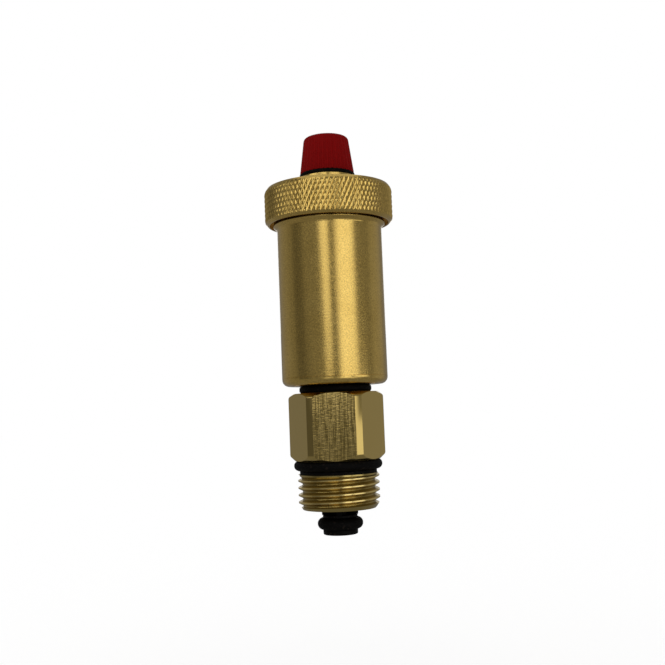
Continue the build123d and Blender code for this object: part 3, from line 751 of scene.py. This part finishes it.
class VALVE_OT_chamber(Operator):
    """Models the float chamber, with the thread of its stub"""

    bl_idname = "valve.chamber"
    bl_label = "Float chamber"

    def execute(self, context):
        s = context.scene.chamber
        low, high = foot("body"), top("body")
        hex_top = top("check_valve_body")
        barrel_foot = hex_top + s.joint_gap
        outer_r = s.collar_r - s.collar_reach
        inner_r = outer_r - s.wall
        thread_top = high - s.rim_height
        collar_top = thread_top - s.thread_length
        collar_foot = collar_top - s.collar_height
        rim_r = inner_r + s.rim_wall
        neck_top = hex_top - s.stub_neck_drop
        scribed = barrel_foot + s.foot_round + s.scribed_drop
        stub = threaded_bar("brass_float_chamber", s.stub_r, s.stub_pitch, low, neck_top + MM)
        neck_depth = s.stub_r - s.stub_neck_r
        blank = turned("blank", [
            (0, low - MM), (s.stub_r - s.stub_lead_in, low - MM), (s.stub_r - s.stub_lead_in, low),
            (s.stub_r, low + s.stub_lead_in), (s.stub_r, neck_top - neck_depth), (s.stub_neck_r, neck_top),
            (0, neck_top),
        ])
        combine(stub, blank, "INTERSECT")
        barrel = turned("barrel", [
            (0, neck_top - MM), (s.stub_neck_r, neck_top - MM), (s.stub_neck_r, barrel_foot, s.neck_edge),
            (outer_r, barrel_foot, s.foot_round), (outer_r, scribed - s.scribed_depth),
            (outer_r - s.scribed_depth, scribed), (outer_r, scribed + s.scribed_depth),
            (outer_r, collar_foot - s.cone_height, s.flare_round),
            (s.collar_r, collar_foot, s.collar_edge), (s.collar_r, collar_top),
            (s.collar_r - s.thread_step, collar_top), (s.collar_r - s.thread_step, thread_top),
            (rim_r, thread_top), (rim_r, high), (0, high),
        ])
        combine(stub, barrel, "UNION")
        floor_z = barrel_foot + s.floor
        bore = turned("bore", [
            (0, low - MM), (s.stub_bore_r, low - MM), (s.stub_bore_r, floor_z),
            (inner_r, floor_z, s.floor_round), (inner_r, high + MM), (0, high + MM),
        ])
        combine(stub, bore, "DIFFERENCE")
        place_piece(stub, "vent_side", "turned_brass", "body")
        return {"FINISHED"}


class VALVE_OT_cover(Operator):
    """Models the knurled cover, with its boss and threaded spigot"""

    bl_idname = "valve.cover"
    bl_label = "Knurled cover"

    def execute(self, context):
        s = context.scene.cover
        low, high = foot("cover"), top("cover")
        outer_r = reach("cover")
        ceiling = top("body")
        roof = ceiling + s.ceiling
        boss_top = roof + s.boss_height
        cover = knurled_bar("knurled_cover", outer_r, low - MM, roof + MM, s)
        shoulder = roof - s.shoulder_height
        blank = turned("blank", [
            (0, low), (outer_r - s.foot_width, low, s.foot_edge),
            (outer_r, low + s.foot_height, s.knurl_edge), (outer_r, shoulder, s.shoulder_round),
            (outer_r - s.shoulder_width / 3, shoulder + s.shoulder_height / 2),
            (outer_r - s.shoulder_width, roof, s.roof_edge), (0, roof),
        ])
        combine(cover, blank, "INTERSECT")
        boss = turned("boss", [
            (0, roof - MM), (s.boss_r + MM, roof - MM), (s.boss_r + MM, roof), (s.boss_r, roof, s.boss_round),
            (s.boss_r, boss_top, s.boss_edge), (0, boss_top),
        ])
        combine(cover, boss, "UNION")
        spigot = threaded_bar("spigot", s.spigot_r, s.spigot_pitch, boss_top - MM, high)
        wide_r = s.spigot_r + MM
        lead_in = turned("lead_in", [
            (0, boss_top - 2 * MM), (wide_r, boss_top - 2 * MM), (wide_r, high - s.spigot_lead_in - MM),
            (s.spigot_r - s.spigot_lead_in, high), (0, high),
        ])
        combine(spigot, lead_in, "INTERSECT")
        combine(cover, spigot, "UNION")
        mouth_top = low + s.mouth_depth
        nozzle_top = ceiling + s.nozzle_depth
        hollow = turned("hollow", [
            (0, low - MM), (s.mouth_r, low - MM), (s.mouth_r, mouth_top), (s.bore_r, mouth_top),
            (s.bore_r, ceiling), (s.nozzle_r, ceiling), (s.nozzle_r, nozzle_top), (s.passage_r, nozzle_top),
            (s.passage_r, high + MM), (0, high + MM),
        ])
        combine(cover, hollow, "DIFFERENCE")
        place_piece(cover, "vent_side", "turned_brass", "cover")
        return {"FINISHED"}


class VALVE_OT_vent_cap(Operator):
    """Models the fluted red cap"""

    bl_idname = "valve.vent_cap"
    bl_label = "Red cap"

    def execute(self, context):
        s = context.scene.cap
        low, high = foot("vent_cap"), top("vent_cap")
        cap = turned("red_vent_cap", [
            (s.bore_r, low), (s.foot_r, low, s.foot_edge), (s.top_r, high, s.top_round), (0, high),
            (0, low + s.bore_depth), (s.bore_r, low + s.bore_depth),
        ])
        root = Vector((s.foot_r - s.flute_depth + s.flute_r, 0, low))
        run_out = Vector((s.top_r + s.flute_r, 0, high - s.flute_stop))
        run = run_out - root
        deselect()
        bpy.ops.mesh.primitive_cylinder_add(
            vertices=FLUTE_STEPS, radius=s.flute_r, depth=run.length * s.cutter_stretch,
            location=(root + run_out) / 2, rotation=(0, atan(run.x / run.z), 0),
        )
        cutters = settle("flute_cutters")
        for _ in range(1, s.flutes):
            bpy.ops.object.duplicate()
            bpy.ops.transform.rotate(value=tau / s.flutes, orient_axis="Z", center_override=(0, 0, 0))
            bpy.ops.object.transform_apply(location=True, rotation=True, scale=True)
        for other in bpy.data.objects:
            if other.name.startswith(cutters.name):
                other.select_set(True)
        bpy.context.view_layer.objects.active = cutters
        bpy.ops.object.join()
        combine(cap, cutters, "DIFFERENCE")
        place_piece(cap, "cap_side", "moulded_red_polypropylene", "vent_cap")
        return {"FINISHED"}


class VALVE_OT_seals(Operator):
    """Models the rubber rings that show"""

    bl_idname = "valve.seals"
    bl_label = "Seals"

    def execute(self, context):
        s = context.scene.seals
        for name, section, node, body in (
            ("shoulder_sealing_ring", s.shoulder_section, "shoulder_o_ring", "valve_side"),
            ("poppet_sealing_ring", s.poppet_section, "poppet_o_ring", "shutter"),
        ):
            ring = o_ring(name, reach(node) - section, section, foot(node), s.parting_depth)
            place_piece(ring, body, "moulded_black_rubber", node)
        for name, node, body, inner_r, outside in (
            ("neck_backing_ring", "neck_ring", "valve_side", s.neck_ring_r, s.neck_ring_round),
            ("joint_sealing_ring", "body_o_ring", "joint_seal", s.body_ring_r, s.body_ring_round),
            ("cap_sealing_ring", "cap_seal", "cap_washer", s.cap_ring_r, s.cap_ring_round),
        ):
            outer_r = reach(node)
            low, high = foot(node), top(node)
            ring = turned(name, [
                (inner_r, low), (outer_r, low, outside), (outer_r, high, outside), (inner_r, high),
            ])
            place_piece(ring, body, "moulded_black_rubber", node)
        return {"FINISHED"}


class VALVE_OT_poppet(Operator):
    """Models the black poppet"""

    bl_idname = "valve.poppet"
    bl_label = "Poppet"

    def execute(self, context):
        s = context.scene.poppet
        low, high = foot("poppet"), top("poppet")
        groove_foot = low + s.foot_height
        groove_top = groove_foot + s.groove_height
        flange_top = groove_top + s.flange_height
        plate_foot = foot("spring_plate")
        plate_top = high - s.snap_height
        poppet = turned("black_poppet", [
            (0, low), (s.stem_r, low, s.foot_round), (s.stem_r, groove_foot, s.edge_round),
            (s.groove_r, groove_foot), (s.groove_r, groove_top), (s.stem_r, groove_top, s.edge_round),
            (s.stem_r, flange_top, s.edge_round), (s.tip_r, flange_top), (s.tip_r, plate_top),
            (s.tip_r + s.snap_reach, plate_top), (s.tip_r - s.snap_reach, high), (0, high),
        ])
        wing_height = plate_foot - flange_top
        for turn in (0, pi / 2):
            deselect()
            bpy.ops.mesh.primitive_cube_add(
                size=1, location=(0, 0, (plate_foot + flange_top) / 2), rotation=(0, 0, turn),
                scale=(2 * s.wing_r, s.wing_thickness, wing_height + HAIR),
            )
            wings = settle("wings")
            edit(wings)
            bpy.ops.mesh.bevel(offset=s.wing_edge, segments=BEVEL_STEPS)
            bpy.ops.object.mode_set(mode="OBJECT")
            combine(poppet, wings, "UNION")
        place_piece(poppet, "shutter", "moulded_black_acetal", "poppet")
        return {"FINISHED"}


class VALVE_OT_finishes(Operator):
    """Makes the materials, and gives them to the inner pieces that keep their own shape"""

    bl_idname = "valve.finishes"
    bl_label = "Finishes"

    def execute(self, context):
        c = context.scene.finishes
        brass = bare_brass("turned_brass", c)
        hexagon = top("shoulder_o_ring") + HAIR, top("check_valve_body") - HAIR
        crest_r = context.scene.check_valve.thread_r
        bare_brass("drawn_and_turned_brass", c, hexagon, reach("check_valve_body"), crest_r)
        steel = pressed_steel(c)
        moulded_red(c)
        # The specks on the rubber and the acetal are partly dirt and partly painted brownish sheen
        rubber = plain_moulding(
            "moulded_black_rubber", c.rubber, c.rubber_dust_and_sheen, roughness=0.55, specks_per_mm=1.5
        )
        acetal = plain_moulding(
            "moulded_black_acetal", c.poppet, c.rubber_dust_and_sheen, roughness=0.4, specks_per_mm=0.9
        )
        natural = plain_moulding(
            "moulded_natural_polypropylene", c.float_body, c.float_body, roughness=0.5, specks_per_mm=0.7
        )
        inner = {
            "spring_plate": acetal, "cover_o_ring": rubber, "nozzle_o_ring": rubber, "obturator_seal": rubber,
            "vent_nozzle": brass, "obturator": brass, "float": natural,
            "poppet_spring": steel, "obturator_spring": steel, "float_hook": steel, "lever": steel,
            "lever_pin": steel, "lever_bracket": steel,
        }
        for name, material in inner.items():
            node = frame["nodes"][name]
            node.data.materials.clear()
            node.data.materials.append(material)
        return {"FINISHED"}


def glow(name, strength):
    """A material that gives light, at a level or at one that a function draws in its node tree."""
    material, tree = new_material(name)
    level = strength(tree) if callable(strength) else strength
    light = add_node(tree, "ShaderNodeEmission", {"Strength": level})
    add_node(tree, "ShaderNodeOutputMaterial", {"Surface": light.outputs["Emission"]})
    return material


def hang(piece, material):
    """Makes a card or panel part of the studio, seen in reflections and nowhere else."""
    piece.data.materials.append(material)
    piece.visible_camera = False
    piece.visible_diffuse = False
    piece.visible_shadow = False


def panel(name, azimuth, hot, width, low, high, soft, radius, level, edge):
    """A curved panel round the valve, bright over its hot width, that fades to its edges and to its foot.

    An azimuth of 0 is behind the camera, and azimuths count to its right."""
    middle = bpy.context.scene.studio.turn + azimuth
    turn = middle - width / 2
    piece = point(name, (radius * sin(turn), -radius * cos(turn), low))
    bpy.ops.mesh.extrude_vertices_move(TRANSFORM_OT_translate={"value": (0, 0, high - low)})
    bpy.ops.mesh.select_all(action="SELECT")
    bpy.ops.mesh.spin(steps=round(width / PANEL_STEP), angle=-width, center=(0, 0, 0), axis=(0, 0, 1))
    bpy.ops.object.mode_set(mode="OBJECT")

    def fade(tree):
        place = add_node(tree, "ShaderNodeTexCoord").outputs["Object"]
        flat = add_node(tree, "ShaderNodeVectorMath", {0: place, 1: (1, 1, 0)}, operation="MULTIPLY")
        outward = add_node(tree, "ShaderNodeVectorMath", {0: flat.outputs["Vector"]}, operation="NORMALIZE")
        facing = add_node(tree, "ShaderNodeVectorMath", {
            0: outward.outputs["Vector"], 1: (sin(middle), -cos(middle), 0),
        }, operation="DOT_PRODUCT")
        across = add_node(tree, "ShaderNodeMapRange", {
            "Value": facing.outputs["Value"], "From Min": cos(width / 2), "From Max": cos(hot / 2),
        }, interpolation_type="SMOOTHSTEP")
        rise = add_node(tree, "ShaderNodeSeparateXYZ", {"Vector": place})
        upwards = add_node(tree, "ShaderNodeMapRange", {
            "Value": rise.outputs["Z"], "From Min": low, "From Max": low + soft,
        }, interpolation_type="SMOOTHSTEP")
        share = add_node(tree, "ShaderNodeMath", {
            0: across.outputs["Result"], 1: upwards.outputs["Result"],
        }, operation="MULTIPLY")
        return add_node(tree, "ShaderNodeMapRange", {
            "Value": share.outputs["Value"], "To Min": edge, "To Max": level,
        }).outputs["Result"]

    hang(piece, glow(name, fade))


def card(name, height, radius, level):
    """A flat round card above or below the valve."""
    deselect()
    bpy.ops.mesh.primitive_circle_add(
        vertices=SECTION_STEPS, radius=radius, fill_type="NGON", location=(0, 0, height)
    )
    hang(settle(name), glow(name, level))


# Turn of one step round a panel
PANEL_STEP = radians(3)
# Grey tent round the valve, and what stands in it. Name, azimuth, hot width and full width in degrees,
# lowest and highest point, fading height at the foot and distance in mm, level in the middle and at the edges
TENT_R = 900
TENT_LEVEL = 0.21
PANELS = (
    ("tent_wall", 0, 359, 360, -1100, 1500, 1, TENT_R, TENT_LEVEL, TENT_LEVEL),
    ("key_panel", 31.5, 16, 54, -560, 440, 360, 800, 1.25, 0.22),
    ("fill_panel", -13.5, 9, 25, 125, 1300, 1, 780, 1.2, 0.3),
    ("fill_foot_panel", -10, 7, 20, 46, 125, 20, 780, 1.2, 0.25),
    ("upper_left_panel", -31, 14, 28, 390, 1300, 1, 760, 1.3, 0.22),
    ("far_left_panel", -60, 26, 40, 300, 480, 1, 770, 1.2, 0.22),
    ("low_fill_panel", -13.5, 9, 25, -480, -105, 300, 780, 0.75, 0.22),
    ("low_card", -6, 24, 40, -80, 50, 1, 700, 0.19, 0.2),
    ("right_card", 113, 24, 54, -300, 700, 1, 820, 0.31, 0.21),
    ("left_card", -126, 24, 54, -300, 700, 1, 820, 0.25, 0.21),
    ("low_right_panel", 57, 20, 44, -220, 24, 120, 700, 1.1, 0.22),
    ("left_flag", -76, 11, 36, 60, 1400, 1, 800, 0.115, 0.21),
    ("left_foot_flag", -68, 16, 42, -300, 60, 200, 790, 0.115, 0.21),
    ("back_panel", 180, 20, 40, 100, 1400, 1, 800, 1.0, 0.2),
)
# Round cards: name, height and radius in mm, level
CARDS = (("tent_roof", 1500, TENT_R, 0.6), ("tent_ground", -1100, TENT_R, 0.2))


class VALVE_OT_studio(Operator):
    """Sets up the white studio and the camera"""

    bl_idname = "valve.studio"
    bl_label = "Studio"

    def execute(self, context):
        s = context.scene.studio
        deselect()
        bpy.ops.mesh.primitive_plane_add(size=2 * s.floor_reach, location=(0, 0, s.floor_z))
        floor = settle("studio_floor")
        material, tree = new_material("white_floor")
        shader = add_node(tree, "ShaderNodeBsdfDiffuse", {"Color": (1, 1, 1, 1)})
        add_node(tree, "ShaderNodeOutputMaterial", {"Surface": shader.outputs["BSDF"]})
        floor.data.materials.append(material)
        floor.visible_glossy = False
        for name, azimuth, hot, width, low, high, soft, radius, level, edge in PANELS:
            panel(
                name, radians(azimuth), radians(hot), radians(width), low * MM, high * MM, soft * MM,
                radius * MM, level, edge
            )
        for name, height, radius, level in CARDS:
            card(name, height * MM, radius * MM, level)
        world = bpy.data.worlds.new("white_studio")
        context.scene.world = world
        world.use_nodes = True
        world.node_tree.nodes["Background"].inputs["Color"].default_value = (1, 1, 1, 1)
        deselect()
        bpy.ops.object.camera_add()
        camera = context.object
        camera.name = "photo_camera"
        stand = Matrix.Rotation(s.turn, 4, "Z") @ Matrix.Translation((s.aside, -s.distance, s.height))
        tilt = Matrix.Rotation(pi / 2 + s.pitch, 4, "X") @ Matrix.Rotation(s.roll, 4, "Z")
        camera.matrix_world = stand @ tilt
        camera.data.lens = s.lens
        camera.data.clip_start = 10 * MM
        context.scene.camera = camera
        context.scene.view_settings.view_transform = "Standard"
        return {"FINISHED"}


class VALVE_PT_panel(Panel):
    """Lists the steps that build the looks"""

    bl_label = "Air release valve"
    bl_idname = "VALVE_PT_panel"
    bl_space_type = "VIEW_3D"
    bl_region_type = "UI"
    bl_category = "Air valve"

    def draw(self, context):
        for step in STEPS:
            self.layout.operator(step.bl_idname)


GROUPS = {
    "check_valve": CheckValveSizes, "chamber": ChamberSizes, "cover": CoverSizes, "cap": CapSizes,
    "seals": SealSizes, "poppet": PoppetSizes, "finishes": FinishColours, "studio": StudioSizes,
}
STEPS = (
    VALVE_OT_studio, VALVE_OT_finishes, VALVE_OT_check_valve_body, VALVE_OT_chamber, VALVE_OT_cover,
    VALVE_OT_vent_cap, VALVE_OT_seals, VALVE_OT_poppet,
)


def register():
    for group in GROUPS.values():
        bpy.utils.register_class(group)
    for step in (*STEPS, VALVE_PT_panel):
        bpy.utils.register_class(step)
    for name, group in GROUPS.items():
        setattr(bpy.types.Scene, name, PointerProperty(type=group))


def unregister():
    for name in GROUPS:
        delattr(bpy.types.Scene, name)
    for kind in (VALVE_PT_panel, *STEPS, *GROUPS.values()):
        bpy.utils.unregister_class(kind)


def main():
    register()
    bpy.ops.valve.studio()
    bpy.ops.valve.finishes()
    bpy.ops.valve.check_valve_body()
    bpy.ops.valve.chamber()
    bpy.ops.valve.cover()
    bpy.ops.valve.vent_cap()
    bpy.ops.valve.seals()
    bpy.ops.valve.poppet()
    deselect()


if __name__ == "__main__":
    main()
